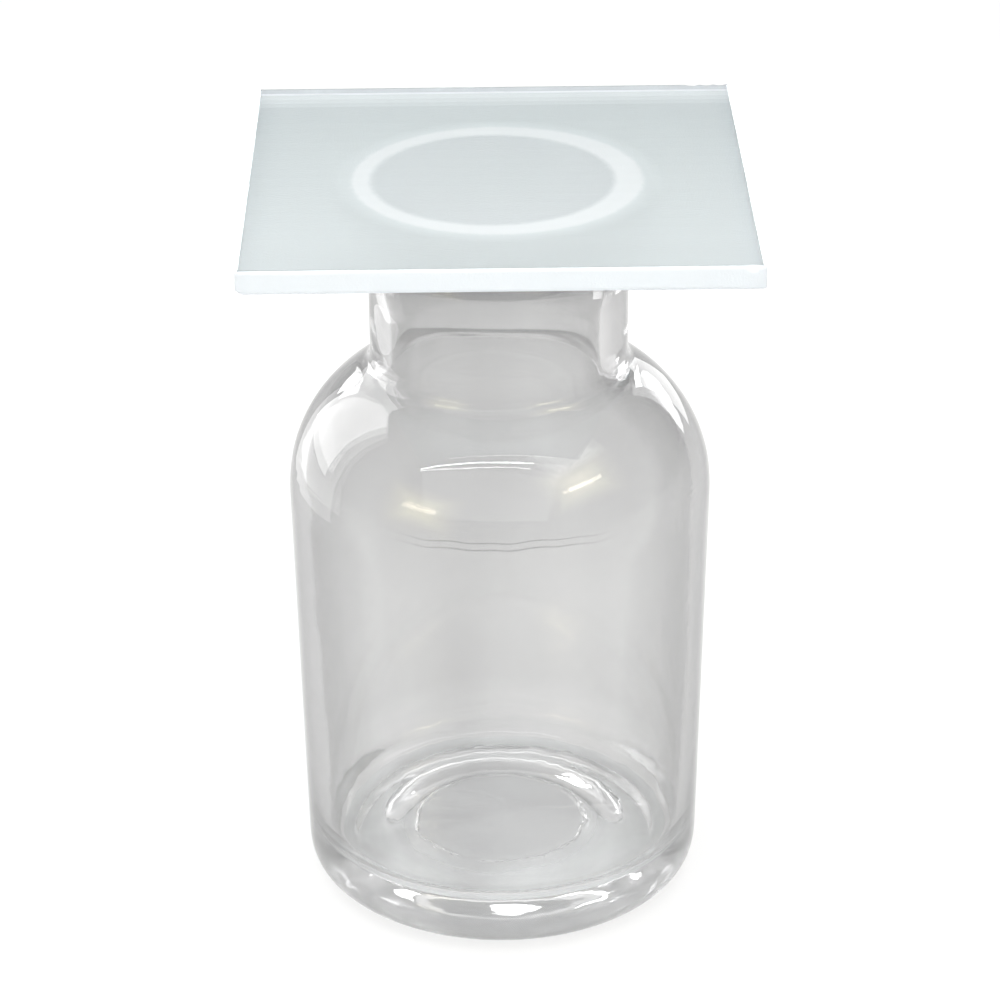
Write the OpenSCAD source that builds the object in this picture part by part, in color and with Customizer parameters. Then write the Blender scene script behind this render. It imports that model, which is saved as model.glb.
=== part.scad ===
// Gas jar with its ground cover plate.
// The jar is one piece of moulded glass: a round body, a sloping shoulder, a short neck and
// a lip that is ground flat on top. The plate is a square of sheet glass, ground on its
// underside, and only rests on the lip. The origin is the middle of the base, on the bench,
// and +Z is up. Both pieces are drawn where they stand.

/* [Jar body] */
// Height of the jar, from the bench to its ground rim
jar_h = 122.5; // [118:0.5:140]
// Diameter of the body at its widest, just under the shoulder
body_d = 70; // [66:0.5:76]
// Height of the widest part of the body
shoulder_z = 71.5; // [60:0.5:74]
// Radius of the shoulder, seen from the side
shoulder_r = 24; // [22:0.5:26]
// How much the radius narrows from the shoulder down to the foot
body_taper = 1.6; // [0.4:0.1:3]
// Thickness of the body's side wall
wall = 3; // [2:0.1:4]

/* [Neck and lip] */
// Outside diameter of the neck
neck_d = 42.2; // [40:0.2:44]
// Thickness of the neck's wall
neck_wall = 4; // [3:0.1:5]
// Radius of the hollow curve between the shoulder and the neck
neck_fillet_r = 3.5; // [1:0.25:5]
// Radius of the same curve inside the glass, where it is softer
inner_fillet_r = 6; // [3:0.5:10]
// Outside diameter of the lip
lip_d = 51; // [50:0.2:54]
// Radius of the lip's rounded edge
lip_edge_r = 3.6; // [3:0.1:4]
// Radius of the hollow curve that carries the neck out to the lip
lip_flare_r = 16; // [10:0.5:18]
// Outside diameter of the flat ring ground on the lip
rim_d = 46.9; // [46:0.1:48]
// Diameter of the mouth, at the inside edge of the ground ring
mouth_d = 39.4; // [38:0.1:41]
// Radius of the rounding inside the mouth
mouth_round_r = 6; // [5:0.25:8]

/* [Base] */
// Radius of the rounded heel at the foot of the body
heel_r = 5; // [3:0.25:6]
// Width of the flat ring that the jar stands on
foot_ring_w = 1.4; // [1:0.1:2]
// Width of the shallow recess inside that ring
recess_w = 3.75; // [3:0.25:5]
// Height of the recess above the bench
recess_h = 0.9; // [0.5:0.1:1.5]
// Diameter of the flat top of the hollow that is pushed up inside the recess
hollow_top_d = 27; // [20:0.5:32]
// Height of the hollow's top above the bench
hollow_h = 4.5; // [3:0.1:5]
// Thickness of the floor at its middle
floor_t = 4.1; // [3:0.1:6]
// Radius of the floor's slight dome, seen from the side
floor_dome_r = 450; // [250:10:800]
// Radius of the corner between the floor and the side wall
floor_corner_r = 4.5; // [3:0.25:6]

/* [Cover plate] */
// Length of each side of the square plate
plate_side = 80; // [70:0.5:100]
// Thickness of the plate
plate_t = 3.8; // [3:0.1:6]

/* [Hidden] */
$fn = 180;

body_r = body_d / 2;
neck_r = neck_d / 2;
rim_r = rim_d / 2;
mouth_r = mouth_d / 2;
bore_r = neck_r - neck_wall;
above = 1;
// Arcs that touch run this far into each other, so that rounding never parts them
bite = 0.001;

// The shoulder is an arc about this point, which the inside of the glass shares
shoulder_x = body_r - shoulder_r;
inner_shoulder_r = shoulder_r - wall;

// Lean of the side, which is a straight line that the shoulder's arc runs into
foot_x = body_r - body_taper - shoulder_x;
lean = atan2(shoulder_z, foot_x) - acos(shoulder_r / norm([foot_x, shoulder_z]));

// The lip's rounded edge ends in the ground ring, and touches the hollow flare
lip_x = lip_d / 2 - lip_edge_r;
lip_z = jar_h - sqrt(pow(lip_edge_r, 2) - pow(rim_r - lip_x, 2));
flare_x = neck_r + lip_flare_r;
flare_z = lip_z - sqrt(pow(lip_flare_r + lip_edge_r - bite, 2) - pow(flare_x - lip_x, 2));

// Middle of the rounding inside the mouth
mouth_x = bore_r + mouth_round_r;
mouth_z = jar_h - sqrt(pow(mouth_round_r, 2) - pow(mouth_x - mouth_r, 2));

// Where a circle of radius r stands at height z to touch, from within, the side of a wall
// whose shoulder has this radius
function side_x(shoulder, r, z) =
    shoulder_x + (shoulder - r + (z - shoulder_z) * sin(lean)) / cos(lean);

// Point of a circle about a middle that faces the leaning side squarely
function on_side(middle, r) = middle + r * [cos(lean), -sin(lean)];

// Rounded heel of the outside
heel = [side_x(shoulder_r, heel_r, heel_r), heel_r];

// The base steps up twice inside its standing ring, to a recess and then to a hollow
recess_r = heel[0] - foot_ring_w;
recess_slope = 2.5;
hollow_r = recess_r - recess_w;

// Dome of the floor, and the corner arc that touches both the dome and the side. The
// corner's middle lies on a line that runs down from start, beside the leaning side.
crown_z = hollow_h + floor_t;
dome_z = crown_z - floor_dome_r;
corner_arc_r = floor_dome_r + floor_corner_r - bite;
start = on_side([shoulder_x, shoulder_z], inner_shoulder_r - floor_corner_r);
side_way = [sin(lean), cos(lean)];
from_dome = start - [0, dome_z];
along = from_dome * side_way;
corner = start + (sqrt(pow(along, 2) - from_dome * from_dome + pow(corner_arc_r, 2)) - along) * side_way;
dome_touch = [0, dome_z] + (corner - [0, dome_z]) * floor_dome_r / corner_arc_r;

module disc(middle, r) {
    translate(middle) circle(r = r);
}

// Half section of the body below its shoulder's middle: the bottom's own points, then the
// rounded corner, the leaning side and the middle of the shoulder
module body_section(bottom, middle, r, shoulder) {
    polygon(concat(bottom, [
        middle,
        on_side(middle, r - bite),
        on_side([shoulder_x, shoulder_z], shoulder - bite),
        [shoulder_x, shoulder_z],
        [0, shoulder_z]
    ]));
    disc(middle, r);
}

// Half section of the shoulder and of the neck above it, joined by a hollow curve
module neck_section(shoulder, neck, fillet, top) {
    x = neck + fillet;
    z = shoulder_z + sqrt(pow(shoulder + fillet - bite, 2) - pow(x - shoulder_x, 2));
    middle = [shoulder_x, shoulder_z];
    intersection() {
        disc(middle, shoulder);
        translate([0, shoulder_z - shoulder]) square([body_d, 2 * shoulder]);
    }
    difference() {
        polygon([[0, shoulder_z], middle, [x, z], [0, z]]);
        disc([x, z], fillet);
    }
    translate([0, shoulder_z]) square([neck, top - shoulder_z]);
}

// Half section of the lip: the hollow flare, the rounded edge and the ring ground flat
module lip_section() {
    difference() {
        polygon([[0, flare_z], [flare_x, flare_z], [lip_x, lip_z], [lip_x, jar_h], [0, jar_h]]);
        disc([flare_x, flare_z], lip_flare_r);
    }
    intersection() {
        disc([lip_x, lip_z], lip_edge_r);
        square([lip_d, jar_h]);
    }
}

module outside_section() {
    body_section([[0, 0], [heel[0], 0]], heel, heel_r, shoulder_r);
    neck_section(shoulder_r, neck_r, neck_fillet_r, lip_z);
    lip_section();
}

module inside_section() {
    difference() {
        body_section([[0, crown_z], dome_touch], corner, floor_corner_r, inner_shoulder_r);
        disc([0, dome_z], floor_dome_r);
    }
    neck_section(inner_shoulder_r, bore_r, inner_fillet_r, mouth_z);
    difference() {
        translate([0, mouth_z - above]) square([mouth_x, jar_h - mouth_z + 2 * above]);
        disc([mouth_x, mouth_z], mouth_round_r);
        translate([bore_r, mouth_z - above]) square([mouth_round_r, above]);
    }
}

// Half section of the air under the base: the recess, and the hollow pushed up inside it
module hollow_section() {
    polygon([
        [0, -above],
        [recess_r, -above],
        [recess_r, 0],
        [recess_r - recess_slope, recess_h],
        [hollow_r, recess_h],
        [hollow_top_d / 2, hollow_h],
        [0, hollow_h]
    ]);
}

// The whole jar is one piece of glass, open at the mouth
module jar() {
    color([0.80, 0.81, 0.81, 0.5])
    rotate_extrude()
    difference() {
        outside_section();
        inside_section();
        hollow_section();
    }
}

// Square of sheet glass, laid on the ground rim
module cover_plate() {
    color([0.84, 0.89, 0.90, 0.8])
    translate([-plate_side / 2, -plate_side / 2, jar_h])
    linear_extrude(plate_t) square(plate_side);
}

jar();
cover_plate();
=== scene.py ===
# %% [markdown]
# # A gas jar with its ground cover plate
# A gas jar is a wide-necked bottle for collecting a gas over water. This one is a single
# piece of moulded soda-lime glass, with a thick floor, a round shoulder and a lip that is
# ground flat, and a square of sheet glass lies on the lip to keep the gas in. The packed
# model gives the size and place of both pieces. Here they are made again as fine surfaces,
# because glass shows every bend of its inside and outside walls.

# %% Load the frame
import math

import bpy
import numpy as np
from mathutils import Matrix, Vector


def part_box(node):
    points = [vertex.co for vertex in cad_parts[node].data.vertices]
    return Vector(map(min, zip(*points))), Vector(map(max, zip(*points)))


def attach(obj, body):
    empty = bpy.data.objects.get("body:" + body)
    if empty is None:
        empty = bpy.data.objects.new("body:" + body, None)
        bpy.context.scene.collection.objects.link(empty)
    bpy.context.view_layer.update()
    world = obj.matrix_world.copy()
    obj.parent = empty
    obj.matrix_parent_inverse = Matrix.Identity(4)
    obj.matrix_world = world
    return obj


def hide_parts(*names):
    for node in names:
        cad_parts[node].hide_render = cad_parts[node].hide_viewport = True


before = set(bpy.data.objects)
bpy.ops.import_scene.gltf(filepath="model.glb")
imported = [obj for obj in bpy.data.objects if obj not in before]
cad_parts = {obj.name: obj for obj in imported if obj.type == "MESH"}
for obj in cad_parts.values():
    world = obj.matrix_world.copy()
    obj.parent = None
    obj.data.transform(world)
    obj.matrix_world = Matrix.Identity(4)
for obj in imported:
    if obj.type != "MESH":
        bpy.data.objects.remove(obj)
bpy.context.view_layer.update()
scene = bpy.context.scene
MM = 0.001  # metres in a millimetre

# %% [markdown]
# ## Driving sizes
# The jar's height and width and the plate's side and thickness come from the packed
# solids. The rest are the glassmaker's own sizes, in millimetres: how thick the wall is,
# how round the shoulder, how wide the ring that is ground on the lip.

# %% Sizes from the frame
jar_low, jar_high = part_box("jar")
plate_low, plate_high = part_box("cover_plate")
JAR_H = jar_high.z / MM
BODY_R = jar_high.x / MM
PLATE_SIDE = (plate_high.x - plate_low.x) / MM
PLATE_T = (plate_high.z - plate_low.z) / MM
print(f"jar {JAR_H:.1f} high, {2 * BODY_R:.1f} wide; plate {PLATE_SIDE:.1f} square, {PLATE_T:.1f} thick")

# %% Sizes of the body, in millimetres
WALL = 3.0
TAPER = 1.6  # how much smaller the foot's radius is than the shoulder's
SHOULDER_Z = 71.5  # where the side ends and the shoulder begins
SHOULDER_R = 24.0
SHOULDER = np.array([BODY_R - SHOULDER_R, SHOULDER_Z])
HEEL_R = 5.0
HOLLOW_R = 27.0  # the jar stands on the narrow ring outside this
UNDERSIDE_STEPS = [(HOLLOW_R, 24.8, 1.3), (23.3, 13.5, 3.2)]  # outer radius, inner radius, rise
HOLLOW_H = sum(rise for _, _, rise in UNDERSIDE_STEPS)
TROUGH_Z = 7.8  # height of the floor inside, where it is lowest
CORNER_R = 4.5  # round between the floor and the wall
FLOOR_STEPS = [(27.0, 3.0, 0.8)]
FLOOR_Z = TROUGH_Z + FLOOR_STEPS[0][2]
print(f"wall {WALL}, hollow {HOLLOW_H:.1f} deep, {FLOOR_Z - HOLLOW_H:.1f} of glass above its middle")

# %% Sizes of the neck and the lip, in millimetres
NECK_R = 21.1
NECK_WALL = 4.0
BORE_R = NECK_R - NECK_WALL
FILLET_R = 3.5  # hollow curve between the shoulder and the neck, outside
INNER_FILLET_R = 6.0
FLARE_R = 16.0
LIP_R = 25.5
LIP_EDGE_R = 3.6
RIM_R = 23.45  # the ring that is ground flat reaches from here
MOUTH_R = 19.7  # to here
MOUTH_ROUND = 6.0
print(f"neck {2 * NECK_R:.1f}, bore {2 * BORE_R:.1f}, ground ring {RIM_R - MOUTH_R:.2f} wide")

# %% [markdown]
# ## The jar's profile
# Cut the jar down its axis and one side of the cut is a closed outline of arcs and straight
# lines, each running smoothly into the next. Each arc is drawn about its own middle, so the
# outline stays right when a size changes. Points are then spread evenly along it.

# %% Arcs and lines
ARC_STEP = 0.35


def arc(middle, radius, start, end):
    """Points on a circle: middle plus radius times (cos, sin) of angles from start to end in degrees."""
    count = max(4, int(abs(math.radians(end - start)) * radius / ARC_STEP) + 1)
    angle = np.radians(np.linspace(start, end, count))
    return np.asarray(middle) + radius * np.stack([np.cos(angle), np.sin(angle)], 1)


def angle_to(start, end):
    """Direction from one point to another, in degrees."""
    return math.degrees(math.atan2(end[1] - start[1], end[0] - start[0]))


def upright(slope, base):
    """Third side of a right-angled triangle: the root of slope squared less base squared."""
    return math.sqrt(slope**2 - base**2)


def step_line(start, end, low, steps, count=90):
    """Height against radius: low, plus a smooth step (3 t^2 - 2 t^3) for each entry of steps.

    An entry holds the outer radius, the inner radius and the rise from one to the other.
    """
    r = np.linspace(start, end, count)
    height = np.full(count, float(low))
    for outer, inner, rise in steps:
        t = np.clip((outer - r) / (outer - inner), 0, 1)
        height += rise * t * t * (3 - 2 * t)
    return np.stack([r, height], 1)


print(f"points on an arc lie {ARC_STEP} apart")

# %% [markdown]
# The side leans in a little towards the foot, so that the jar comes out of its mould. It
# touches the shoulder's arc and the heel's arc without a corner, so both of those have
# their middles on one line that leans as the side does.

# %% Where the side leans
foot = np.array([BODY_R - TAPER - SHOULDER[0], SHOULDER_Z])
LEAN = math.atan2(foot[1], foot[0]) - math.acos(SHOULDER_R / np.hypot(*foot))
lean_deg = math.degrees(LEAN)
up_side = np.array([math.sin(LEAN), math.cos(LEAN)])
out_side = np.array([math.cos(LEAN), -math.sin(LEAN)])


def beside(radius_left, height):
    """Middle at a height, that far out from the shoulder's middle, square to the side."""
    start = SHOULDER + radius_left * out_side
    return start + (height - start[1]) / up_side[1] * up_side


heel = beside(SHOULDER_R - HEEL_R, HEEL_R)
corner = beside(SHOULDER_R - WALL - CORNER_R, TROUGH_Z + CORNER_R)
print(f"the side leans by {lean_deg:.2f} degrees; the heel's middle is at {heel.round(2)}")

# %% Where the neck and the lip have their middles
lip = np.array([LIP_R - LIP_EDGE_R, JAR_H - upright(LIP_EDGE_R, RIM_R - LIP_R + LIP_EDGE_R)])
flare = np.array([NECK_R + FLARE_R, lip[1] - upright(FLARE_R + LIP_EDGE_R, NECK_R + FLARE_R - lip[0])])
mouth = np.array([BORE_R + MOUTH_ROUND, JAR_H - upright(MOUTH_ROUND, BORE_R + MOUTH_ROUND - MOUTH_R)])


def neck_fillet(shoulder, neck, radius):
    """Middle of the hollow curve that joins a shoulder's arc to a neck."""
    x = neck + radius
    return np.array([x, SHOULDER_Z + upright(shoulder + radius, x - SHOULDER[0])])


outer_fillet = neck_fillet(SHOULDER_R, NECK_R, FILLET_R)
inner_fillet = neck_fillet(SHOULDER_R - WALL, BORE_R, INNER_FILLET_R)
print(f"the neck begins at height {outer_fillet[1]:.1f}, the flare at {flare[1]:.1f}")

# %% The two walls
outside = np.concatenate([
    step_line(0, HOLLOW_R, 0, UNDERSIDE_STEPS),
    [[HOLLOW_R, 0], [heel[0], 0]],
    arc(heel, HEEL_R, -90, -lean_deg),
    arc(SHOULDER, SHOULDER_R, -lean_deg, angle_to(SHOULDER, outer_fillet)),
    arc(outer_fillet, FILLET_R, angle_to(outer_fillet, SHOULDER), -180),
    arc(flare, FLARE_R, 180, angle_to(flare, lip)),
    arc(lip, LIP_EDGE_R, angle_to(flare, lip) - 180, angle_to(lip, (RIM_R, JAR_H))),
])
inside = np.concatenate([
    arc(mouth, MOUTH_ROUND, angle_to(mouth, (MOUTH_R, JAR_H)), 180),
    arc(inner_fillet, INNER_FILLET_R, -180, angle_to(inner_fillet, SHOULDER)),
    arc(SHOULDER, SHOULDER_R - WALL, angle_to(SHOULDER, inner_fillet), -lean_deg),
    arc(corner, CORNER_R, -lean_deg, -90),
    step_line(corner[0], 0, TROUGH_Z, FLOOR_STEPS),
])
print(f"{len(outside)} points outside, {len(inside)} inside")

# %% [markdown]
# The two lines are spread out to even rows and softened a little, because fire polishing
# rounds each corner. A fine mould seam is narrower than one row, so the rows lie close
# together where it runs.

# %% Even rows
SPACING = 1.15
SEAM_LOW, SEAM_HIGH, SEAM_SPACING = 75.3, 77.7, 0.06  # heights that get close rows


def resample(points, spacing):
    """The same line with points a fixed distance apart along it."""
    points = points[np.r_[True, np.hypot(*np.diff(points, axis=0).T) > 1e-6]]
    along = np.r_[0, np.cumsum(np.hypot(*np.diff(points, axis=0).T))]
    at = np.linspace(0, along[-1], int(along[-1] / spacing) + 1)
    return np.stack([np.interp(at, along, points[:, 0]), np.interp(at, along, points[:, 1])], 1)


def soften(points, passes):
    """Each pass moves every inner point to the average of itself and its neighbours' middle."""
    points = points.copy()
    for _ in range(passes):
        points[1:-1] = 0.5 * points[1:-1] + 0.25 * (points[:-2] + points[2:])
    return points


def with_rows(points, low, high, spacing):
    """The same line with closely spaced points between two heights on the jar's side."""
    wide = points[:, 0] > NECK_R
    side = np.flatnonzero(wide & (points[:, 1] > HEEL_R + 5) & (points[:, 1] < JAR_H - 25))
    rows = np.arange(low, high, spacing)
    radius = np.interp(rows, points[side, 1], points[side, 0])
    before = side[points[side, 1] < low][-1]
    after = side[points[side, 1] > high][0]
    return np.concatenate([points[:before + 1], np.stack([radius, rows], 1), points[after:]])


outside = with_rows(soften(resample(outside, SPACING), 2), SEAM_LOW, SEAM_HIGH, SEAM_SPACING)
inside = soften(resample(inside, SPACING), 2)
rim = outside[-1] + (inside[0] - outside[-1]) * np.linspace(0, 1, 6)[:, None]
profile = np.concatenate([outside[1:], rim[1:-1], inside[:-1]])
is_inside = np.arange(len(profile)) >= len(outside) - 1 + len(rim) - 2
print(f"{len(profile)} rows, of which {is_inside.sum()} inside")

# %% [markdown]
# ## From profile to glass
# Turning the profile about the axis gives the jar as a function of two parameters, the
# place along the profile and the angle round the axis. A moulded wall is never quite true,
# so the same two parameters also drive a slow ripple: a sum of a few waves that run round
# the jar and along it. The ripple is slight outside, where the metal mould shaped the
# glass, and stronger inside, where only air pressed on it. Blender's Screw modifier could
# turn the profile too, but it would make both walls perfectly round, and light shows that.

# %% Turn the profile, and let the walls ripple
AROUND = 288
AIR_FILM = 0.04  # the lip ends this far under the plate, which is what the air between them takes
INSIDE_RIPPLE, OUTSIDE_RIPPLE, FLOOR_RIPPLE = 0.30, 0.10, 0.30
CALM_AXIS, CALM_LIP = 6, 8  # the ripple fades out over these distances from the axis and the lip
REAMED_FROM, REAMED_FADE, REAMED_CALM = 85, 10, 0.8  # height, run-in and loss of ripple in the neck
FLOOR_TOP = 14  # all of the floor inside lies below this
rng = np.random.default_rng(14)


def ripple(rows, turns, waves=10, most_round=7, most_along=9):
    """Waves cos(m * angle + phase) * cos(n * pi * share + tilt), each over the root of m + n.

    m and n are whole numbers drawn at random, and the sum is scaled to lie between -1 and 1.
    """
    total = np.zeros((len(rows), len(turns)))
    for m, n in zip(rng.integers(1, most_round, waves), rng.integers(1, most_along, waves)):
        phase, tilt = rng.uniform(0, 2 * np.pi, 2)
        around = np.cos(m * turns[None, :] + phase)
        total += around * np.cos(n * np.pi * rows[:, None] + tilt) / (m + n) ** 0.5
    return total / np.abs(total).max()


turns = np.linspace(0, 2 * np.pi, AROUND, endpoint=False)
share = np.linspace(0, 1, len(profile))
height = profile[:, 1]
radius = np.repeat(profile[:, :1], AROUND, 1)
level = np.repeat(np.minimum(profile[:, 1:], JAR_H - AIR_FILM), AROUND, 1)
off_axis = np.clip(radius[:, :1] / CALM_AXIS, 0, 1)
off_lip = np.clip((JAR_H - height) / CALM_LIP, 0, 1)
off_neck = 1 - REAMED_CALM * np.clip((height - REAMED_FROM) / REAMED_FADE, 0, 1)
wall_share = off_lip * off_neck
waves_in = ripple(share, turns)
waves_out = ripple(share, turns, most_round=5)
radius += off_axis * (is_inside * wall_share)[:, None] * INSIDE_RIPPLE * waves_in
radius -= off_axis * (~is_inside * wall_share)[:, None] * OUTSIDE_RIPPLE * (1 + waves_out) / 2
on_floor = (is_inside & (height < FLOOR_TOP))[:, None]
level += off_axis * on_floor * FLOOR_RIPPLE * ripple(share, turns, most_round=5)
print(f"the radius runs from {radius.min():.2f} to {radius.max():.2f}")

# %% [markdown]
# ## The mould's seam
# Where the parts of the mould met, on the shoulder, two hair-fine ridges run round the front
# of the jar and wander a little. Each is half a cosine wave in height. That alone hardly
# shows on clear glass with white all round it, so each point also keeps how much seam it
# has, and the glass's material reads that.

# %% Two fine ridges
SEAMS = [(76.0, 0.22, 0.05), (77.1, 0.18, 0.035)]  # height, half width, rise
SEAM_WAVE = 0.3
FRONT = 1.5 * np.pi
FRONT_SPREAD = 0.42  # in radians; past this the ridges fade away
front = np.exp(-((turns - FRONT) / FRONT_SPREAD) ** 4)
wander = SEAM_WAVE * (np.cos(9 * turns + 1) + np.cos(14 * turns) + 0.6 * np.cos(31 * turns)) / 2
on_side = (~is_inside * (height > HEEL_R))[:, None]
seam = np.zeros_like(radius)
for seam_z, half_width, rise in SEAMS:
    off = np.clip((height[:, None] - seam_z - wander) / half_width, -1, 1)
    ridge = front * on_side * (1 + np.cos(np.pi * off)) / 2
    radius += rise * ridge
    seam += ridge
print(f"{(seam > 0.5).sum():,} points lie on the seam")

# %% [markdown]
# The tool that opened the neck ran out of true by less than a millimetre, so the ring that
# is ground on the lip is wider on one side. The whole inside is moved a little, the more the
# higher it lies, so the walls stay smooth.

# %% The bore's shift and the finished grid
BORE_SHIFT = 0.8
grid = np.stack([radius * np.cos(turns), radius * np.sin(turns), level], -1)
shift = is_inside * np.clip((height - SHOULDER_Z) / (JAR_H - SHOULDER_Z), 0, 1) * BORE_SHIFT
grid[:, :, 0] -= shift[:, None]
print(f"grid of {grid.shape[0]} by {grid.shape[1]} points")

# %% [markdown]
# A grid that closes round itself still has a hole at each end, where its first and its last
# row meet the axis. One point in each hole closes the surface, which glass needs: light has
# to know when it is inside.

# %% Faces of a closed grid
def grid_faces(rows, columns):
    """Quads between neighbouring rows, closed round the columns."""
    row, column = np.meshgrid(np.arange(rows - 1), np.arange(columns), indexing="ij")
    beyond = (column + 1) % columns
    return np.stack([row * columns + column, row * columns + beyond,
                     (row + 1) * columns + beyond, (row + 1) * columns + column], -1).reshape(-1, 4)


def cap_faces(row, columns, pole, upward):
    """Triangles from one row of a grid to a single point that closes it."""
    here = row * columns + np.arange(columns)
    beyond = row * columns + (np.arange(columns) + 1) % columns
    pair = (here, beyond) if upward else (beyond, here)
    return np.stack([pair[0], pair[1], np.full(columns, pole)], -1)


def closed_surface(grid, first_pole, last_pole, upward):
    """Points in metres and faces of a grid with a point at each end; upward is how the first end faces."""
    rows, columns = grid.shape[:2]
    points = np.concatenate([grid.reshape(-1, 3), [first_pole, last_pole]]) * MM
    quads = grid_faces(rows, columns)
    quads = quads[:, ::-1] if upward else quads
    first_cap = cap_faces(0, columns, rows * columns, upward)
    last_cap = cap_faces(rows - 1, columns, rows * columns + 1, not upward)
    return points, quads.tolist() + first_cap.tolist() + last_cap.tolist()


jar_points, jar_faces = closed_surface(grid, (0, 0, HOLLOW_H), (0, 0, FLOOR_Z), False)
print(f"{len(jar_points):,} points and {len(jar_faces):,} faces on the jar")


# %% Make and measure a piece
def make_object(name, points, faces, slots, materials):
    """A smooth-shaded mesh object at the origin, its materials chosen face by face."""
    mesh = bpy.data.meshes.new(name)
    mesh.from_pydata(points.tolist(), [], faces)
    for material in materials:
        mesh.materials.append(material)
    mesh.polygons.foreach_set("material_index", np.asarray(slots, np.int32))
    mesh.polygons.foreach_set("use_smooth", np.ones(len(faces), bool))
    mesh.update()
    mesh.validate()
    piece = bpy.data.objects.new(name, mesh)
    scene.collection.objects.link(piece)
    return piece


def measure(piece):
    """Print a piece's triangles and volume: the sum of a . (b x c) over its triangles, over 6."""
    mesh = piece.data
    mesh.calc_loop_triangles()
    corners = np.zeros(len(mesh.loop_triangles) * 3, np.int32)
    mesh.loop_triangles.foreach_get("vertices", corners)
    points = np.zeros(len(mesh.vertices) * 3)
    mesh.vertices.foreach_get("co", points)
    a, b, c = points.reshape(-1, 3)[corners.reshape(-1, 3)].transpose(1, 0, 2)
    volume = (a * np.cross(b, c)).sum() / 6 * 1e6
    print(f"{piece.name}: {len(mesh.loop_triangles):,} triangles, {volume:.1f} ml of glass")


print("pieces are made from points, faces and a slot for each face")

# %% [markdown]
# ## Materials
# Colours are written as sRGB hex values, which one function turns into the linear numbers
# that Blender works in. One small function adds a node with its settings and links, and a
# ramp's stops are one of the settings. Patterns sit on Object coordinates, so they stay in
# the glass, and each is as large as its size in millimetres says.

# %% Colour and node helpers
GLASS_IOR = 1.52  # soda-lime glass
CLEAR = {"Roughness": 0.0, "IOR": GLASS_IOR, "Transmission Weight": 1.0}


def hex_colour(code):
    """Linear RGBA from an sRGB hex value."""
    parts = np.array([int(code[i:i + 2], 16) for i in (1, 3, 5)]) / 255
    linear = np.where(parts <= 0.04045, parts / 12.92, ((parts + 0.055) / 1.055) ** 2.4)
    return (*linear.tolist(), 1.0)


def fill(elements, stops):
    """Give a ramp its stops: positions from 0 to 1, each with a hex colour or the value of a grey."""
    colours = [hex_colour(v) if isinstance(v, str) else (v, v, v, 1.0) for _, v in stops]
    elements[0].color, elements[1].color = colours[0], colours[-1]
    for (position, _), colour in zip(stops[1:-1], colours[1:-1]):
        elements.new(position).color = colour


def add(tree, kind, settings=None, links=None):
    """A node of that kind. Settings and links name a property or a socket, or count the sockets from 0."""
    node = tree.nodes.new("ShaderNode" + kind)
    for name, value in (settings or {}).items():
        if name == "stops":
            fill(node.color_ramp.elements, value)
        elif isinstance(name, str) and hasattr(node, name):
            setattr(node, name, value)
        else:
            node.inputs[name].default_value = value
    for name, source in (links or {}).items():
        tree.links.new(source, node.inputs[name])
    return node


def new_material(name):
    """An empty material and the node tree that will hold it."""
    material = bpy.data.materials.new(name)
    material.use_nodes = True
    material.node_tree.nodes.clear()
    return material, material.node_tree


def over(span, stops):
    """Stops whose positions are in millimetres, as shares of a span that runs from 0."""
    return [(position / span, value) for position, value in stops]


def noise(size_mm, detail, roughness):
    """Settings of a noise with one lump to every so many millimetres: its scale is lumps per metre."""
    return {"Scale": 1 / (size_mm * MM), "Detail": detail, "Roughness": roughness}


print("soda-lime glass:", CLEAR)

# %% [markdown]
# ### Moulded and blown glass
# The outside touched the mould and was then polished in a flame. It is smooth and clear,
# and faint dimples where the iron chilled it make its reflections tremble a little. The
# inside only ever touched air. Both get the same clear glass with a very low bump.

# %% Clear glass with a chilled skin
CHILL_MM = 25 / 3  # three dimples to 25 mm
CHILL_RISE = 0.4


def clear_glass(tree, colour, place):
    """Fire-polished glass with the faint chill ripple that a metal mould leaves on its skin."""
    chill = add(tree, "TexNoise", noise(CHILL_MM, 2.0, 0.5), {"Vector": place})
    bump = add(tree, "Bump", {"Strength": 0.12, "Distance": CHILL_RISE * MM},
               {"Height": chill.outputs["Fac"]})
    glass = add(tree, "BsdfPrincipled", CLEAR, {"Base Color": colour, "Normal": bump.outputs["Normal"]})
    add(tree, "OutputMaterial", links={"Surface": glass.outputs[0]})


print(f"chill dimples every {CHILL_MM:.1f} mm")

# %% [markdown]
# Seen from the front, the side of a jar is clear in the middle and has dark edges, because
# there the light has come a long way through the wall. Absorption in the glass could give
# that, but it would make the thick floor much too dark. So the outer skin is tinted by how
# far it turns from the eye, and less so low on the heel, where the glass is lit from the
# floor. The mould's seam catches less light than the skin beside it: a fine grey line.

# %% The outer skin
OUTER_GREY = [(0.0, "#EAEAEA"), (0.3, "#E7E7E7"), (0.37, "#D2D2D2"), (0.46, "#C2C2C2"),
              (0.58, "#9C9C9C"), (0.7, "#868686"), (0.8, "#565656"), (1.0, "#303030")]
HEEL_LOW, HEEL_HIGH, HEEL_SHARE = 2, 9, 0.6  # heights in mm, and the share of the turn that counts below
SEAM_GREY = 0.45


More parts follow.
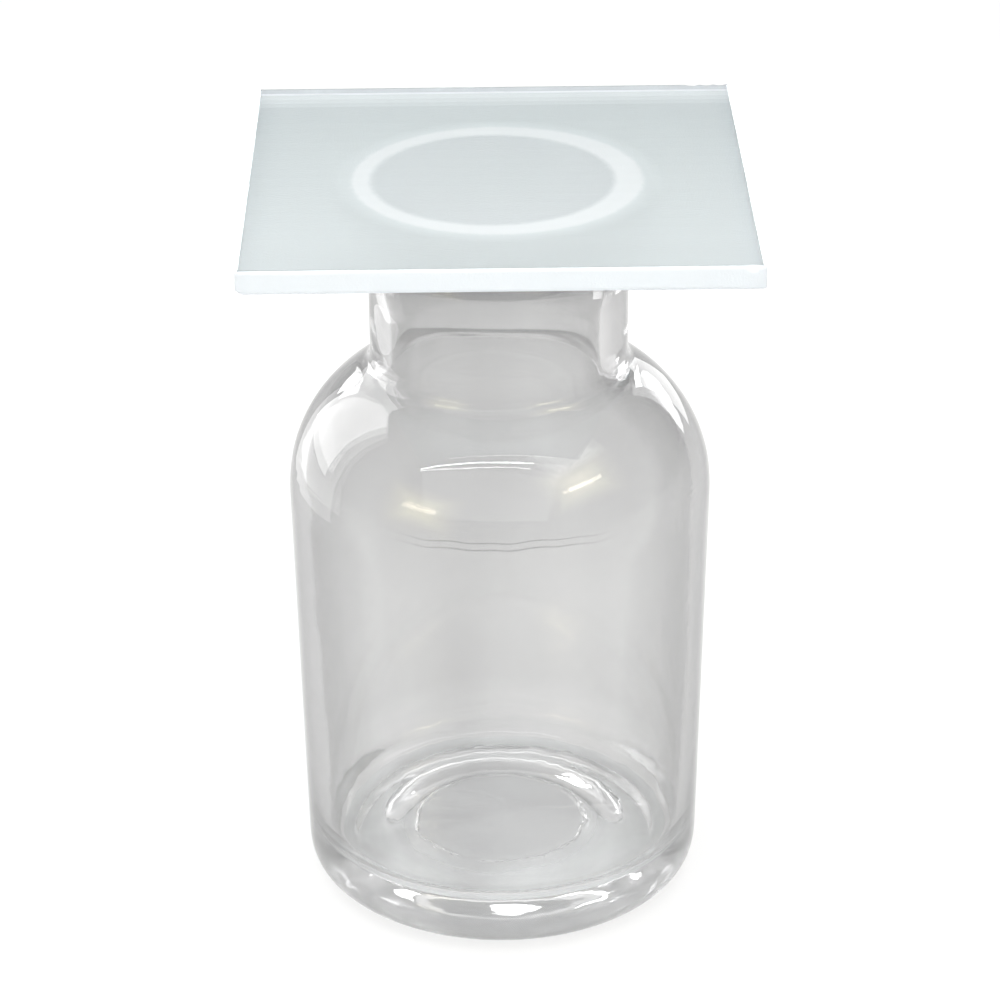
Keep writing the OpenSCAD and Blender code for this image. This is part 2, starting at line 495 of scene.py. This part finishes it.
def moulded_glass(name):
    """The outer skin: a long way through glass looks greyer, so it darkens where it turns from the eye."""
    material, tree = new_material(name)
    slant = add(tree, "LayerWeight", {"Blend": 0.5})
    place = add(tree, "TexCoord").outputs["Object"]
    level = add(tree, "SeparateXYZ", links={"Vector": place})
    heel_share = add(tree, "MapRange", {
        "From Min": HEEL_LOW * MM, "From Max": HEEL_HIGH * MM, "To Min": HEEL_SHARE,
    }, {"Value": level.outputs["Z"]})
    turned = add(tree, "Math", {"operation": "MULTIPLY"},
                 {0: slant.outputs["Facing"], 1: heel_share.outputs[0]})
    grey = add(tree, "ValToRGB", {"stops": OUTER_GREY}, {"Fac": turned.outputs[0]})
    mark = add(tree, "Attribute", {"attribute_name": "seam"})
    held_back = add(tree, "MapRange", {"To Min": 1.0, "To Max": SEAM_GREY}, {"Value": mark.outputs["Fac"]})
    tint = add(tree, "VectorMath", {"operation": "SCALE"},
               {0: grey.outputs["Color"], "Scale": held_back.outputs[0]})
    clear_glass(tree, tint.outputs[0], place)
    return material


jar_glass = moulded_glass("soda-lime glass, moulded side")
print("made:", jar_glass.name)

# %% [markdown]
# Inside, the glass is untinted on the floor and greyer higher up, greyest on the shoulder.
# Long upright bands are partly cords, streaks where the melt was not quite even, and partly
# painted shade, for the darker reflections that run down the body. They are a noise that is
# stretched along the jar's height.

# %% The inner skin
INNER_GREY = [(0, "#FFFFFF"), (10, "#FFFFFF"), (18, "#E6E6E6"), (65, "#E4E4E4"), (76, "#D6D6D6"),
              (87, "#C6C6C6"), (96, "#CECECE"), (110, "#D8D8D8"), (JAR_H, "#D8D8D8")]  # by height in mm
# The upright bands darken the tint: partly cords in the glass, partly painted shade for darker reflections
# down the body.
CORD_SHADE_MM, CORD_SHADE_SQUEEZE, CORD_SHADE_GREY = 1000 / 38, 0.12, 0.80  # 38 cords to a metre round the jar


def blown_glass(name):
    """The inner skin: untinted on the floor, greyer higher up, and darker in upright bands that are partly
    cords and partly painted shade.
    """
    material, tree = new_material(name)
    place = add(tree, "TexCoord").outputs["Object"]
    level = add(tree, "SeparateXYZ", links={"Vector": place})
    height_share = add(tree, "MapRange", {"From Max": JAR_H * MM}, {"Value": level.outputs["Z"]})
    grey = add(tree, "ValToRGB", {"stops": over(JAR_H, INNER_GREY)}, {"Fac": height_share.outputs[0]})
    upright_place = add(tree, "Mapping", {"Scale": (1.0, 1.0, CORD_SHADE_SQUEEZE)}, {"Vector": place})
    cord_shade_noise = add(tree, "TexNoise", noise(CORD_SHADE_MM, 2.0, 0.5), {"Vector": upright_place.outputs[0]})
    # Painted shade in upright bands, partly standing for cords in the glass.
    cord_shade = add(tree, "MapRange", {
        "From Min": 0.35, "From Max": 0.65, "To Min": CORD_SHADE_GREY,
    }, {"Value": cord_shade_noise.outputs["Fac"]})
    tint = add(tree, "VectorMath", {"operation": "SCALE"},
               {0: grey.outputs["Color"], "Scale": cord_shade.outputs[0]})
    clear_glass(tree, tint.outputs[0], place)
    return material


inner_glass = blown_glass("soda-lime glass, blown side")
print("made:", inner_glass.name)

# %% [markdown]
# ### The underside
# The hollow under the jar was pressed by a cold punch and never fire-polished, and the ring
# that it stands on has been pushed over many benches. The eye sees a broken bright ring,
# where the punch stopped and wrinkled the glass, and cloudy patches outside it. The clouds
# are partly real scuffing and partly painted highlight: their paler tint stands for bright
# glints of light caught in the foot, and the glass round them is greyer. All of it depends
# on the distance from the axis, so that distance, made a little uneven with noise, drives
# ramps for the ring, the clouds and the share of chalky, scattering glass.

# %% How far from the axis
def from_axis(tree, place, unit=1.0):
    """Distance from the jar's axis, in units of so many metres: the length of (x, y, 0) over the unit."""
    flat = add(tree, "VectorMath", {"operation": "MULTIPLY", 1: (1 / unit, 1 / unit, 0)}, {0: place})
    return add(tree, "VectorMath", {"operation": "LENGTH"}, {0: flat.outputs[0]}).outputs["Value"]


RIDGE_R, RIDGE_HALF, RIDGE_RISE = 14.1, 0.36, 0.4  # the wrinkled ring, in mm
FOOT_SPAN = 30  # the ramps below run from the axis to this radius, in mm
WANDER_MM, WANDER_SIZE = 4.0, 100 / 9  # how far the rings wander, and over what length: nine to 100 mm
BREAK_MM = 6.25  # length of the gaps in the ring
CLOUD_MM, CLOUD_RISE = 50 / 3, 0.3  # three clouds to 50 mm
RIDGE = [(0, 0.0), (RIDGE_R - RIDGE_HALF, 0.0), (RIDGE_R, 1.0),
         (RIDGE_R + RIDGE_HALF, 0.0), (FOOT_SPAN, 0.0)]
CLOUDY = [(0, 0.05), (13.5, 0.1), (18, 0.5), (22.5, 1.0), (27.9, 1.0), (FOOT_SPAN, 0.6)]
CHALKY = [(0, 0.2), (16.5, 0.25), (22.5, 0.8), (FOOT_SPAN, 0.9)]
# Greyer glass and paler clouds: the paler tint is partly scuffing, partly painted highlight for glints of
# light in the foot.
SCUFF_AND_GLINT_TINT = [(0.0, "#DCDDDE"), (0.3, "#F2F6F7"), (0.6, "#FAFFFF"), (1.0, "#FAFFFF")]
CHALK_ROUGHNESS = 0.5
print(f"wrinkled ring {2 * RIDGE_R:.1f} across, clouds from {2 * CLOUDY[2][0]} outwards")


# %% Chilled and scuffed glass
def foot_finish(name, roughness):
    """Chilled and scuffed glass: a wrinkled ring where the punch stopped, and hazy patches round it, whose
    paler tint is partly a painted highlight.
    """
    material, tree = new_material(name)
    place = add(tree, "TexCoord").outputs["Object"]
    wander = add(tree, "TexNoise", noise(WANDER_SIZE, 4.0, 0.6), {"Vector": place})
    uneven = add(tree, "Math", {"operation": "MULTIPLY_ADD", 1: WANDER_MM * MM},
                 {0: wander.outputs["Fac"], 2: from_axis(tree, place)})
    # The noise adds half its reach on average, so the range starts there and ends a span further out.
    ring = add(tree, "MapRange", {
        "From Min": WANDER_MM / 2 * MM, "From Max": (WANDER_MM / 2 + FOOT_SPAN) * MM,
    }, {"Value": uneven.outputs[0]}).outputs[0]
    ridge = add(tree, "ValToRGB", {"stops": over(FOOT_SPAN, RIDGE)}, {"Fac": ring})
    breaks = add(tree, "TexNoise", noise(BREAK_MM, 2.0, 0.5), {"Vector": place})
    kept = add(tree, "MapRange", {"From Min": 0.40, "From Max": 0.58}, {"Value": breaks.outputs["Fac"]})
    broken = add(tree, "Math", {"operation": "MULTIPLY"}, {0: ridge.outputs["Color"], 1: kept.outputs[0]})
    zone = add(tree, "ValToRGB", {"stops": over(FOOT_SPAN, CLOUDY)}, {"Fac": ring})
    patches = add(tree, "TexNoise", noise(CLOUD_MM, 3.0, 0.5), {"Vector": place})
    cloud = add(tree, "MapRange", {"From Min": 0.30, "From Max": 0.60}, {"Value": patches.outputs["Fac"]})
    white = add(tree, "Math", {"operation": "MULTIPLY"}, {0: zone.outputs["Color"], 1: cloud.outputs[0]})
    wrinkle = add(tree, "Bump", {"Strength": 1.0, "Distance": RIDGE_RISE * MM},
                  {"Height": broken.outputs[0]})
    uneven_skin = add(tree, "Bump", {"Strength": 0.5, "Distance": CLOUD_RISE * MM},
                      {"Height": white.outputs[0], "Normal": wrinkle.outputs[0]})
    # Paler where the clouds are: partly scuffing, partly a painted highlight.
    tint = add(tree, "ValToRGB", {"stops": SCUFF_AND_GLINT_TINT}, {"Fac": white.outputs[0]}).outputs["Color"]
    clear = add(tree, "BsdfPrincipled", CLEAR | {"Roughness": roughness},
                {"Base Color": tint, "Normal": uneven_skin.outputs[0]})
    chalk = add(tree, "BsdfPrincipled", CLEAR | {"Roughness": CHALK_ROUGHNESS}, {"Base Color": tint})
    amount = add(tree, "ValToRGB", {"stops": over(FOOT_SPAN, CHALKY)}, {"Fac": ring})
    both = add(tree, "MixShader",
               links={"Fac": amount.outputs["Color"], 1: clear.outputs[0], 2: chalk.outputs[0]})
    add(tree, "OutputMaterial", links={"Surface": both.outputs[0]})
    return material


hollow_glass = foot_finish("soda-lime glass, chilled hollow", 0.0)
foot_glass = foot_finish("soda-lime glass, scuffed foot", 0.12)
print("made:", hollow_glass.name, "and", foot_glass.name)

# %% [markdown]
# ### Ground glass
# The lip and the plate were ground on a wet iron wheel with grit, which leaves a skin full
# of tiny pits. It scatters light and looks like frost. Pits in the mesh would take millions
# of faces, so they are roughness and a bump. Real ones are far finer than a tenth of a
# millimetre and wouldn't show, so they are drawn 0.3 mm apart. The plate's edge was cut with
# a wheel. It looks whiter and a little bluish, and lets less light through.

# %% Lip and cut edge
GRIT_MM, EDGE_GRIT_MM, PIT_DEPTH = 0.3, 0.4, 0.2  # coarser than real grit, so that it shows


def pitted(tree, place, grain_mm, strength=0.35):
    """The pits that the grit leaves, as a bumped normal."""
    grain = add(tree, "TexNoise", noise(grain_mm, 3.0, 0.6), {"Vector": place})
    settings = {"Strength": strength, "Distance": PIT_DEPTH * MM}
    return add(tree, "Bump", settings, {"Height": grain.outputs["Fac"]}).outputs["Normal"]


def ground_glass(name, colour, roughness, transmission, grain_mm):
    """Glass ground with grit: its skin is covered in tiny pits, so it scatters light and looks white."""
    material, tree = new_material(name)
    place = add(tree, "TexCoord").outputs["Object"]
    glass = add(tree, "BsdfPrincipled", {
        "Base Color": hex_colour(colour), "Roughness": roughness,
        "IOR": GLASS_IOR, "Transmission Weight": transmission,
    }, {"Normal": pitted(tree, place, grain_mm)})
    add(tree, "OutputMaterial", links={"Surface": glass.outputs[0]})
    return material


rim_glass = ground_glass("ground glass, lip", "#FBFDFD", 0.7, 0.5, GRIT_MM)
edge_glass = ground_glass("float glass, cut edge", "#E2E7EF", 0.35, 0.3, EDGE_GRIT_MM)
print("made:", rim_glass.name, "and", edge_glass.name)

# %% [markdown]
# The plate's underside is matt all over. Where the lip rubs it, years of turning have left a
# white ring, and it lies as far out of true as the neck's bore does on its inner side. A soft
# paler glow round the ring is painted light, for light that the lip scatters back, and the
# glass inside the ring is painted a shade paler, to lift the shade of the jar beneath it. A
# painted map could hold all that, but colour and clearness only follow the distance from the
# axis, so two ramps do, with fine noise that makes the ring's edges ragged.

# %% The plate's matt underside
PLATE_SPAN = 40  # the ramps run from the axis to this radius, in mm
RING_IN, RING_OUT = MOUTH_R + 0.4, RIM_R - 0.5
RAGGED_MM, RAGGED_SHARE = 5 / 7, 0.01  # seven notches to 5 mm, each up to a hundredth of the span
# A wear ring, with painted light round it and a painted lift of the shade inside it.
RING_WEAR_AND_PAINTED_LIGHT = [(0, "#CFD7D9"), (MOUTH_R - 0.8, "#D1D8DB"), (RING_IN, "#EAEDEF"), (RING_OUT, "#EAEDEF"),
               (RIM_R + 0.3, "#D9E0E2"), (RIM_R + 3.2, "#CBD4D6"), (PLATE_SPAN, "#CBD4D6")]
RING_CLEAR = [(0, 0.3), (MOUTH_R - 0.8, 0.3), (RING_IN, 0.0), (RING_OUT, 0.0),
              (RIM_R + 0.4, 0.1), (RIM_R + 3.2, 0.3), (PLATE_SPAN, 0.3)]


def ground_underside():
    """Matt glass that the ground lip has polished whiter where it rubs, with painted light round that and a
    paler painted disc inside it.
    """
    material, tree = new_material("ground glass, underside of the plate")
    place = add(tree, "TexCoord").outputs["Object"]
    streaks = add(tree, "TexNoise", noise(RAGGED_MM, 6.0, 0.8), {"Vector": place})
    ragged = add(tree, "MapRange", {
        "From Min": 0.3, "From Max": 0.7, "To Min": -RAGGED_SHARE, "To Max": RAGGED_SHARE,
    }, {"Value": streaks.outputs["Fac"]})
    aside = add(tree, "MapRange", {
        "From Min": (MOUTH_R + 1.3) / PLATE_SPAN, "From Max": RING_OUT / PLATE_SPAN,
        "To Min": BORE_SHIFT * MM, "To Max": 0.0,
    }, {"Value": from_axis(tree, place, PLATE_SPAN * MM)})
    step_aside = add(tree, "CombineXYZ", links={"X": aside.outputs[0]})
    moved = add(tree, "VectorMath", {"operation": "ADD"}, {0: place, 1: step_aside.outputs[0]})
    reach = from_axis(tree, moved.outputs[0], PLATE_SPAN * MM)
    away = add(tree, "Math", {"operation": "ADD"}, {0: reach, 1: ragged.outputs[0]}).outputs[0]
    colour = add(tree, "ValToRGB", {"stops": over(PLATE_SPAN, RING_WEAR_AND_PAINTED_LIGHT)}, {"Fac": away})
    clearness = add(tree, "ValToRGB", {"stops": over(PLATE_SPAN, RING_CLEAR)}, {"Fac": away})
    glass = add(tree, "BsdfPrincipled", {"Roughness": 0.5, "IOR": GLASS_IOR}, {
        "Base Color": colour.outputs["Color"], "Transmission Weight": clearness.outputs["Color"],
        "Normal": pitted(tree, place, GRIT_MM),
    })
    add(tree, "OutputMaterial", links={"Surface": glass.outputs[0]})
    return material


matt_glass = ground_underside()
print("made:", matt_glass.name)

# %% [markdown]
# Float glass is flat because it set on molten tin. It has no texture of its own, and all
# that the eye gets is a clean mirror on top and a touch of blue-green where it looks through.

# %% The plate's clear sheet
def sheet_glass():
    """Float glass: flat and clear, a little green where a long way is seen through it."""
    material, tree = new_material("soda-lime float glass")
    glass = add(tree, "BsdfPrincipled", CLEAR | {"Base Color": hex_colour("#F9FCFD")})
    add(tree, "OutputMaterial", links={"Surface": glass.outputs[0]})
    return material


plate_glass = sheet_glass()
print("made:", plate_glass.name)

# %% [markdown]
# ## The jar
# The closed surface becomes a mesh, and each row of faces gets its finish: chilled under
# the hollow, scuffed on the ring that it stands on, moulded up to the lip, ground on top of
# the lip and blown inside. The seam goes along as an attribute, one value at each point.

# %% Build the jar
MOULDED, GROUND, BLOWN, CHILLED, SCUFFED = range(5)
row = np.arange(len(profile) - 1)
lip_from = len(outside) - 2
lip_to = lip_from + len(rim) - 1
row_radius, row_height = profile[:-1].T
underneath = (row < lip_from) & (row_height < HOLLOW_H + 1) & (row_radius < heel[0] + 2)
row_slots = np.select([row >= lip_to, row >= lip_from, underneath & (row_radius < HOLLOW_R), underneath],
                      [BLOWN, GROUND, CHILLED, SCUFFED], MOULDED)
jar_slots = np.r_[np.repeat(row_slots, AROUND), np.full(AROUND, CHILLED), np.full(AROUND, BLOWN)]
jar = make_object("gas_jar", jar_points, jar_faces, jar_slots,
                  [jar_glass, rim_glass, inner_glass, hollow_glass, foot_glass])
seam_attribute = jar.data.attributes.new("seam", "FLOAT", "POINT")
seam_attribute.data.foreach_set("value", np.r_[seam.ravel(), 0, 0])
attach(jar, "root")
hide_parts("jar")
measure(jar)

# %% [markdown]
# ## The cover plate
# The plate is a square of sheet glass, and it is a closed surface too: a profile that runs
# from the middle of the top, over the edge and back to the middle of the underside, carried
# round a square. A plain box would have knife edges. The real one has a small arris, rubbed
# on it so that it doesn't cut, and the rows near the edge lie close enough to hold chips.

# %% Square outline and profile of the plate
HALF = PLATE_SIDE / 2
ARRIS = 0.35
PER_SIDE = 200
across = np.linspace(-1, 1, PER_SIDE, endpoint=False)
ones = np.ones(PER_SIDE)
four_sides = [(across, -ones), (ones, across), (-across, ones), (-ones, -across)]
square = np.concatenate([np.stack(side, 1) for side in four_sides])
insets = np.array([34, 28, 22, 16, 11, 7, 4.5, 3, 2, 1.4, 1.0, 0.7, ARRIS])  # from the edge, in mm
edge_levels = np.linspace(ARRIS, PLATE_T - ARRIS, 10)
plate_profile = np.concatenate([
    np.stack([insets, np.full(len(insets), PLATE_T)], 1),
    np.stack([np.zeros(len(edge_levels)), edge_levels[::-1]], 1),
    np.stack([insets[::-1], np.zeros(len(insets))], 1),
])
half_width = (HALF - plate_profile[:, 0])[:, None, None]
plate_level = np.repeat(plate_profile[:, 1][:, None, None], len(square), 1)
plate_grid = np.concatenate([half_width * square[None], plate_level], -1)
print(f"plate grid of {plate_grid.shape[0]} by {plate_grid.shape[1]} points")

# %% [markdown]
# Sheet glass that is knocked loses small shells from its corners and edges. A Boolean could
# cut them, but it leaves long thin faces that show in glass. Here each chip is a small
# sphere: points that lie inside it are pushed out to its surface, away from its middle, and
# then clipped to the plate, which leaves a hollow shaped like a shell.

# %% Chips along the edges
CHIPS = [  # x, y, height and radius in mm
    (33.5, 40.6, PLATE_T, 1.5), (36.0, 40.5, PLATE_T, 1.3), (38.2, 40.4, PLATE_T, 1.2),
    (30.0, 40.5, PLATE_T, 0.9), (-40.6, 25.0, PLATE_T, 1.0), (-40.6, -4.0, PLATE_T, 0.9),
    (38.0, -40.6, PLATE_T, 1.2), (-39.9, -39.9, 0, 0.9),
]
for x, y, z, chip_r in CHIPS:
    away = plate_grid - np.array([x, y, z])
    gap = np.linalg.norm(away, axis=-1, keepdims=True)
    pushed = np.array([x, y, z]) + away * chip_r / np.maximum(gap, 1e-6)
    plate_grid = np.where(gap < chip_r, pushed, plate_grid)
plate_grid[:, :, :2] = np.clip(plate_grid[:, :, :2], -HALF, HALF)
plate_grid[:, :, 2] = np.clip(plate_grid[:, :, 2], 0, PLATE_T) + JAR_H
print(f"{len(CHIPS)} chips")

# %% Build the plate
SHEET, MATT, CUT = range(3)
top_middle, under_middle = (0, 0, JAR_H + PLATE_T), (0, 0, JAR_H)
plate_points, plate_faces = closed_surface(plate_grid, top_middle, under_middle, True)
row = np.arange(len(plate_profile) - 1)
row_slots = np.select([row >= len(insets) + len(edge_levels), row >= len(insets) - 1], [MATT, CUT], SHEET)
columns = len(square)
plate_slots = np.r_[np.repeat(row_slots, columns), np.full(columns, SHEET), np.full(columns, MATT)]
cover = make_object("cover_plate_glass", plate_points, plate_faces, plate_slots,
                    [plate_glass, matt_glass, edge_glass])
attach(cover, "root")
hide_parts("cover_plate")
measure(cover)

# %% [markdown]
# ## Floor and room
# Clear glass shows what is round it, so its look is made by the room as much as by its own
# material. The floor is white paper. A plain white floor would need much light to look
# white, and that light would wash out the glass, so to the eye, and to what the glass
# mirrors and lets through, the paper also glows, while for all other light it is plain
# paper that keeps the jar's shadow.

# %% White paper
FLOOR_HALF, FLOOR_DROP = 3, 0.0002  # metres; the drop keeps paper and glass from lying in one plane
PAPER_GLOW = 0.8
floor_mesh = bpy.data.meshes.new("floor")
floor_corners = [(x * FLOOR_HALF, y * FLOOR_HALF, 0) for x, y in ((-1, -1), (1, -1), (1, 1), (-1, 1))]
floor_mesh.from_pydata(floor_corners, [], [(0, 1, 2, 3)])
floor = bpy.data.objects.new("floor", floor_mesh)
floor.location.z = -FLOOR_DROP
scene.collection.objects.link(floor)
material, tree = new_material("white paper sweep")
path = add(tree, "LightPath").outputs
seen = add(tree, "Math", {"operation": "MAXIMUM"}, {0: path["Is Camera Ray"], 1: path["Is Glossy Ray"]})
seen = add(tree, "Math", {"operation": "MAXIMUM"}, {0: seen.outputs[0], 1: path["Is Transmission Ray"]})
paper = add(tree, "BsdfDiffuse", {"Color": hex_colour("#F3F3F3")})
glow = add(tree, "Emission", {"Color": hex_colour("#FFFFFF"), "Strength": 1.0})
glow_share = add(tree, "Math", {"operation": "MULTIPLY", 1: PAPER_GLOW}, {0: seen.outputs[0]})
both = add(tree, "MixShader", links={"Fac": glow_share.outputs[0], 1: paper.outputs[0], 2: glow.outputs[0]})
add(tree, "OutputMaterial", links={"Surface": both.outputs[0]})
floor_mesh.materials.append(material)
print(f"paper {2 * FLOOR_HALF} m square, glowing by {PAPER_GLOW}")

# %% The room
ROOM = 0.75
world = bpy.data.worlds.new("studio")
world.use_nodes = True
world.node_tree.nodes["Background"].inputs["Color"].default_value = (ROOM, ROOM, ROOM, 1)
scene.world = world
print(f"the room round it is a plain grey of {ROOM}")

# %% [markdown]
# ## Lamps
# Each lamp is there for one highlight. A lamp's place is given as a photographer would: the
# compass direction from which it faces the jar, with 0 in front, how high it stands, and how
# far away. A lamp's power follows from how bright its face should look, so a lamp can change
# size without changing the look of its reflection.

# %% Lamp helpers
AIM = (0, 0, 0.07)  # a lamp faces this point in the body, in metres


def placed(right, up, back, spot):
    """A matrix whose columns are an object's right, up and backward directions, and its place."""
    return Matrix(np.r_[np.c_[right, up, back, spot], [[0, 0, 0, 1]]].tolist())


def softbox(name, azimuth, elevation, distance, width, height, radiance,
            colour="#FFFFFF", target=AIM):
    """A rectangular lamp that faces the jar. Its power is pi times its area times its radiance."""
    azimuth, elevation = math.radians(azimuth), math.radians(elevation)
    along_floor = math.cos(elevation)
    way = np.array([math.sin(azimuth) * along_floor, -math.cos(azimuth) * along_floor, math.sin(elevation)])
    lamp = bpy.data.lights.new(name, "AREA")
    lamp.shape, lamp.size, lamp.size_y = "RECTANGLE", width, height
    lamp.color = hex_colour(colour)[:3]
    lamp.energy = math.pi * width * height * radiance
    piece = bpy.data.objects.new(name, lamp)
    right = np.cross([0, 0, 1], way) / np.linalg.norm(np.cross([0, 0, 1], way))
    piece.matrix_world = placed(right, np.cross(way, right), way, np.array(target) + distance * way)
    piece.visible_camera = False
    scene.collection.objects.link(piece)
    return piece


def panel(name, azimuth, distance, low, high, width, radiance):
    """A lamp standing upright on the floor, facing the jar, between two heights in metres."""
    middle = (low + high) / 2
    return softbox(name, azimuth, 0, distance, width, high - low, radiance, target=(0, 0, middle))


print("lamps face", AIM)

# %% [markdown]
# Upright panels at the sides and behind draw the long bright lines down the body and the
# neck. The two behind leave the middle free, because a panel there would show as a white
# strip under the plate.

# %% Panels at the sides and behind
PANELS = [  # name, azimuth, distance, lowest and highest point, width, radiance
    ("left_panel", -120, 0.22, 0.005, 0.30, 0.20, 0.95),
    ("left_panel_core", -122, 0.215, 0.08, 0.30, 0.13, 2.2),
    ("back_panel_left", 206, 0.45, 0.16, 0.27, 0.16, 5.4),
    ("back_panel_right", 158, 0.45, 0.20, 0.27, 0.16, 6.0),
    ("right_panel", 148, 0.30, 0.05, 0.235, 0.09, 1.8),
]
for settings in PANELS:
    panel(*settings)
print(f"{len(PANELS)} upright panels")

# %% [markdown]
# The plate's top mirrors what stands behind the jar. Faint panels, one behind the other and
# each a little higher at its foot, add up to a glow without a hard edge. The low ones make
# the pale band along the back of the plate, and the high ones brighten it towards the front.

# %% A soft glow behind the plate
BEHIND, GLOW_GAP, GLOW_WIDTH = 180, 0.002, 0.4
BAND_DISTANCE, BAND_LOW, BAND_HIGH, BAND_STEP, BAND_RADIANCE = 0.44, 0.268, 0.2772, 0.0004, 0.33
GLOW_DISTANCE, GLOW_LOW, GLOW_HIGH, GLOW_STEP, GLOW_RADIANCE = 0.45, 0.286, 0.40, 0.0036, 0.065
for step in range(3):
    panel(f"low_glow_{step}", BEHIND, BAND_DISTANCE + GLOW_GAP * step,
          BAND_LOW, BAND_HIGH - BAND_STEP * step, GLOW_WIDTH, BAND_RADIANCE)
for step in range(14):
    panel(f"high_glow_{step}", BEHIND, GLOW_DISTANCE + GLOW_GAP * step,
          GLOW_LOW + GLOW_STEP * step, GLOW_HIGH, GLOW_WIDTH, GLOW_RADIANCE)
print(f"the glow begins {BAND_LOW} m above the floor")

# %% A bar high behind, for the bright arch in the floor of the jar
softbox("high_back", azimuth=168, elevation=52, distance=1.0, width=0.40, height=0.14, radiance=4.0)
print("one bar high behind")

# %% [markdown]
# On the shoulder lie two warm patches, each with a bright line in it: a shaded lamp with a
# tube. A shade is brightest in its middle and fades outwards, so each patch is a nest of
# rectangles that add up. They stand at slightly different distances, because a ray counts
# only one of two lamps that lie in the same plane.

# %% Two warm shaded lamps
NEST = [(1.0, 0.06), (0.88, 0.07), (0.76, 0.09), (0.66, 0.11),  # share of full size, radiance
        (0.56, 0.13), (0.46, 0.15), (0.36, 0.18), (0.26, 0.2)]
NEST_DISTANCE, NEST_GAP, NEST_WIDTH, NEST_HEIGHT = 1.05, 0.05, 0.86, 0.62
WARM_LEFT = {"azimuth": -46, "elevation": 17, "colour": "#F4E9AC"}
WARM_RIGHT = {"azimuth": 54, "elevation": 35, "colour": "#F6EEC0"}
for nest_size, radiance in NEST:
    rectangle = {
        "distance": NEST_DISTANCE - NEST_GAP * nest_size,
        "width": NEST_WIDTH * nest_size, "height": NEST_HEIGHT * nest_size,
    }
    softbox(f"warm_left_{nest_size}", radiance=2.4 * radiance, **rectangle, **WARM_LEFT)
    softbox(f"warm_right_{nest_size}", radiance=2.8 * radiance, **rectangle, **WARM_RIGHT)
WARM_TUBE = {"distance": 0.98, "width": 0.34, "height": 0.045, "colour": "#FFF6E0"}
softbox("warm_left_tube", azimuth=-46, elevation=18, radiance=3.5, **WARM_TUBE)
softbox("warm_right_tube", azimuth=54, elevation=33, radiance=6.0, **WARM_TUBE)
print(f"two nests of {len(NEST)} rectangles, each with a tube")

# %% [markdown]
# A long thin tube on the ceiling draws the fine bright line over the shoulder. It keeps the
# tilt of a lamp that stands straight in front, but it hangs further to the left. A second,
# smaller nest gives a soft patch on the right, and two wide plain lamps fill the rest.

# %% Tube, overhead nest and fill
CEILING_SPOT = (-0.29, -0.53, 1.08)
tube = softbox("ceiling_tube", azimuth=0, elevation=62, distance=1.2, width=1.2, height=0.018,
               radiance=24.0)
tube.location = CEILING_SPOT
for nest_size in (1.0, 0.8, 0.6):
    softbox(f"overhead_{nest_size}", azimuth=62, elevation=56, distance=1.25 - NEST_GAP * nest_size,
            width=0.7 * nest_size, height=0.5 * nest_size, radiance=0.6)
softbox("front_fill", azimuth=-8, elevation=38, distance=1.6, width=2.2, height=1.2, radiance=0.5)
softbox("top_light", azimuth=0, elevation=82, distance=0.55, width=0.5, height=0.3, radiance=3.8)

# %% [markdown]
# ## Camera
# A long lens from a little over half a metre away, looking down by about 26 degrees, shows
# the plate as a flat diamond and the body nearly without distortion.

# %% Camera
FOCAL = 3.651  # focal length, in widths of the frame
SENSOR = 36.0
CAM_DISTANCE, CAM_HEIGHT = 0.5459, 0.3389  # metres from the axis and above the floor
PITCH, ROLL, AZIMUTH = 26.41, -0.44, -0.59
camera_data = bpy.data.cameras.new("camera")
camera_data.sensor_width = SENSOR
camera_data.lens = FOCAL * SENSOR
camera = bpy.data.objects.new("camera", camera_data)
pitch, roll, azimuth = math.radians(PITCH), math.radians(ROLL), math.radians(AZIMUTH)
level_forward = np.array([-math.sin(azimuth), math.cos(azimuth), 0.0])
forward = level_forward * math.cos(pitch) - np.array([0.0, 0.0, math.sin(pitch)])
level_right = np.array([math.cos(azimuth), math.sin(azimuth), 0.0])
level_up = np.cross(level_right, forward)
right = math.cos(roll) * level_right + math.sin(roll) * level_up
up = -math.sin(roll) * level_right + math.cos(roll) * level_up
spot = np.array([CAM_DISTANCE * math.sin(azimuth), -CAM_DISTANCE * math.cos(azimuth), CAM_HEIGHT])
camera.matrix_world = placed(right, up, -forward, spot)
scene.collection.objects.link(camera)
scene.camera = camera
print(f"a lens of {FOCAL * SENSOR:.0f} mm, {np.linalg.norm(spot):.2f} m from the foot of the jar")

# %% [markdown]
# ## Bounces and view
# A ray that goes through a jar meets many walls of glass, and the nests and the glow put
# many lamps in its way, so both kinds of crossing are allowed more often than usual. With
# too few of them the glass gets black patches. The view is the plain one, in which a
# colour comes out as it is written.

# %% Bounces and view
WALLS, LAMPS = 24, 32
scene.cycles.max_bounces = WALLS
scene.cycles.transparent_max_bounces = LAMPS
scene.cycles.transmission_bounces = WALLS
scene.cycles.glossy_bounces = WALLS
scene.view_settings.view_transform = "Standard"
print(f"up to {WALLS} walls of glass and {LAMPS} lamps to a ray")
